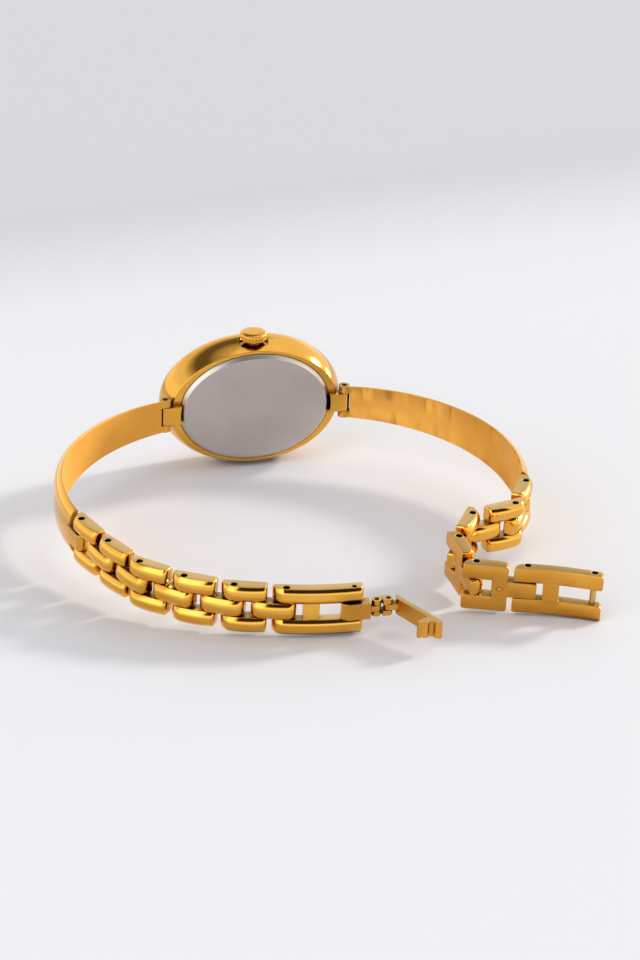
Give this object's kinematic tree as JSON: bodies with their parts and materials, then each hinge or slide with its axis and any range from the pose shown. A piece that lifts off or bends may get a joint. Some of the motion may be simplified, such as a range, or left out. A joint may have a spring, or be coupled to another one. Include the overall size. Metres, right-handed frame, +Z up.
{
  "type": "wristwatch",
  "caption": "Small oval gold-tone bangle wristwatch lying open on the edge of its bracelet, with rigid curved strips, hinged H-shaped links and a lever snap clasp.",
  "frame": {"origin": "middle of the lying watch's box, on the floor", "axes": "+Y the side that the dial faces, +X from 6 o'clock to 12 o'clock, +Z up, across the bracelet's width"},
  "size_m": [0.0592, 0.0636, 0.019],
  "materials": {
    "case_gold": "polished gold plate",
    "band_gold": "satin gold plate",
    "back_steel": "fine matt grain with a bright rim",
    "pin_steel": "turned wire",
    "crystal": "clear mineral glass",
    "dial": "ivory lacquer",
    "hands": "polished gold",
    "seal": "matt",
    "holder": "moulded",
    "movement_brass": "fine turned",
    "movement_steel": "brushed",
    "battery": "bright",
    "coil_wire": "enamelled copper wire",
    "circuit": "green board",
    "magnet": "grey"
  },
  "bodies": {
    "case": {"case_middle": "case_gold", "case_back": "back_steel", "back_gasket": "seal", "crystal": "crystal", "crystal_gasket": "seal", "dial": "dial", "crown_tube": "case_gold", "stem_gasket": "seal", "movement_holder": "holder", "main_plate": "movement_brass", "train_bridge": "movement_steel", "battery": "battery", "coil": "coil_wire", "stator": "movement_steel", "circuit_board": "circuit"},
    "setting_lever": {"setting_lever": "movement_steel"},
    "crown": {"crown": "case_gold", "winding_stem": "movement_steel"},
    "minute_hand": {"centre_wheel": "movement_brass", "minute_hand": "hands"},
    "hour_hand": {"hour_wheel": "movement_brass", "hour_hand": "hands"},
    "third_wheel": {"third_wheel": "movement_brass"},
    "rotor": {"rotor": "magnet"},
    "bangle_6": {"bangle_6": "band_gold", "lug_pin_6": "pin_steel"},
    "link_6_1": {"link_6_1": "band_gold", "pin_6_1": "pin_steel"},
    "link_6_2": {"link_6_2": "band_gold", "pin_6_2": "pin_steel"},
    "link_6_3": {"link_6_3": "band_gold", "pin_6_3": "pin_steel"},
    "link_6_4": {"link_6_4": "band_gold", "pin_6_4": "pin_steel"},
    "link_6_5": {"link_6_5": "band_gold", "pin_6_5": "pin_steel"},
    "frame_6": {"frame_6": "band_gold", "frame_pin_6": "pin_steel", "block_pin": "pin_steel"},
    "bangle_12": {"bangle_12": "band_gold", "lug_pin_12": "pin_steel"},
    "link_12_1": {"link_12_1": "band_gold", "pin_12_1": "pin_steel"},
    "link_12_2": {"link_12_2": "band_gold", "pin_12_2": "pin_steel"},
    "link_12_3": {"link_12_3": "band_gold", "pin_12_3": "pin_steel"},
    "link_12_4": {"link_12_4": "band_gold", "pin_12_4": "pin_steel"},
    "link_12_5": {"link_12_5": "band_gold", "pin_12_5": "pin_steel"},
    "frame_12": {"frame_12": "band_gold", "frame_pin_12": "pin_steel", "catch_bar": "band_gold"},
    "clasp_block": {"clasp_block": "band_gold"},
    "clasp_plates": {"clasp_plates": "band_gold", "plates_pin": "pin_steel", "lever_pin": "pin_steel"},
    "clasp_lever": {"clasp_lever": "band_gold"}
  },
  "joints": [
    {"name": "bangle_6_hinge", "type": "hinge", "parent": "case", "child": "bangle_6", "pos_m": [-0.0116, 0.02543, 0.00859], "axis": [0, -0.1028, 0.9947], "range_deg": [-6, 6]},
    {"name": "link_6_1_hinge", "type": "hinge", "parent": "bangle_6", "child": "link_6_1", "pos_m": [-0.02773, -0.00435, 0.00552], "axis": [0, 0.1028, -0.9947], "range_deg": [-10, 70]},
    {"name": "link_6_2_hinge", "type": "hinge", "parent": "link_6_1", "child": "link_6_2", "pos_m": [-0.02559, -0.00992, 0.00494], "axis": [0, -0.1028, 0.9947], "range_deg": [-74, 12]},
    {"name": "link_6_3_hinge", "type": "hinge", "parent": "link_6_2", "child": "link_6_3", "pos_m": [-0.02287, -0.01524, 0.00439], "axis": [0, 0.1028, -0.9947], "range_deg": [-54, 88]},
    {"name": "link_6_4_hinge", "type": "hinge", "parent": "link_6_3", "child": "link_6_4", "pos_m": [-0.01848, -0.01931, 0.00397], "axis": [0, 0.1028, -0.9947], "range_deg": [-60, 82]},
    {"name": "link_6_5_hinge", "type": "hinge", "parent": "link_6_4", "child": "link_6_5", "pos_m": [-0.01327, -0.02227, 0.00366], "axis": [0, 0.1028, -0.9947], "range_deg": [-62, 80]},
    {"name": "frame_6_hinge", "type": "hinge", "parent": "link_6_5", "child": "frame_6", "pos_m": [-0.00756, -0.0241, 0.00348], "axis": [0, -0.1028, 0.9947], "range_deg": [-78, 64]},
    {"name": "bangle_12_hinge", "type": "hinge", "parent": "case", "child": "bangle_12", "pos_m": [0.0124, 0.02543, 0.00859], "axis": [0, 0.1028, -0.9947], "range_deg": [-6, 6]},
    {"name": "link_12_1_hinge", "type": "hinge", "parent": "bangle_12", "child": "link_12_1", "pos_m": [0.02748, -0.00489, 0.00546], "axis": [0, 0.1028, -0.9947], "range_deg": [-78, 64]},
    {"name": "link_12_2_hinge", "type": "hinge", "parent": "link_12_1", "child": "link_12_2", "pos_m": [0.02444, -0.01003, 0.00493], "axis": [0, -0.1028, 0.9947], "range_deg": [-28, 84]},
    {"name": "link_12_3_hinge", "type": "hinge", "parent": "link_12_2", "child": "link_12_3", "pos_m": [0.01859, -0.01139, 0.00479], "axis": [0, 0.1028, -0.9947], "range_deg": [-24, 56]},
    {"name": "link_12_4_hinge", "type": "hinge", "parent": "link_12_3", "child": "link_12_4", "pos_m": [0.01535, -0.01641, 0.00427], "axis": [0, -0.1028, 0.9947], "range_deg": [-58, 32]},
    {"name": "link_12_5_hinge", "type": "hinge", "parent": "link_12_4", "child": "link_12_5", "pos_m": [0.01566, -0.02238, 0.00365], "axis": [0, 0.1028, -0.9947], "range_deg": [-4, 84]},
    {"name": "frame_12_hinge", "type": "hinge", "parent": "link_12_5", "child": "frame_12", "pos_m": [0.02127, -0.02448, 0.00344], "axis": [0, 0.1028, -0.9947], "range_deg": [-70, 70]},
    {"name": "clasp_block_hinge", "type": "hinge", "parent": "frame_6", "child": "clasp_block", "pos_m": [0.00015, -0.02523, 0.00336], "axis": [0, -0.1028, 0.9947], "range_deg": [-60, 60]},
    {"name": "clasp_plates_hinge", "type": "hinge", "parent": "clasp_block", "child": "clasp_plates", "pos_m": [0.00285, -0.02528, 0.00335], "axis": [0, 0.1028, -0.9947], "range_deg": [-60, 60]},
    {"name": "clasp_lever_hinge", "type": "hinge", "parent": "clasp_plates", "child": "clasp_lever", "pos_m": [0.00426, -0.02528, 0.00335], "axis": [0, -0.1028, 0.9947], "range_deg": [-104, 60]},
    {"name": "crown_pull", "type": "slide", "parent": "case", "child": "setting_lever", "axis": [0, -0.1028, 0.9947], "range_m": [0, 0.0008]},
    {"name": "crown_turn", "type": "hinge", "parent": "setting_lever", "child": "crown", "pos_m": [0.0004, 0.02697, 0.01378], "axis": [0, -0.1028, 0.9947], "continuous": true},
    {"name": "minute_turn", "type": "hinge", "parent": "case", "child": "minute_hand", "pos_m": [0.0004, 0.02808, 0.00887], "axis": [0, 0.9947, 0.1028], "continuous": true},
    {"name": "hour_turn", "type": "hinge", "parent": "case", "child": "hour_hand", "pos_m": [0.0004, 0.02808, 0.00887], "axis": [0, 0.9947, 0.1028], "continuous": true},
    {"name": "third_wheel_turn", "type": "hinge", "parent": "case", "child": "third_wheel", "pos_m": [-0.00136, 0.02793, 0.01034], "axis": [0, 0.9947, 0.1028], "continuous": true},
    {"name": "rotor_turn", "type": "hinge", "parent": "case", "child": "rotor", "pos_m": [-0.00335, 0.02781, 0.01148], "axis": [0, 0.9947, 0.1028], "continuous": true}
  ],
  "couplings": [
    {"joint": "hour_turn", "follows": "minute_turn", "ratio": 0.083333},
    {"joint": "third_wheel_turn", "follows": "minute_turn", "ratio": -6},
    {"joint": "rotor_turn", "follows": "minute_turn", "ratio": 36}
  ]
}
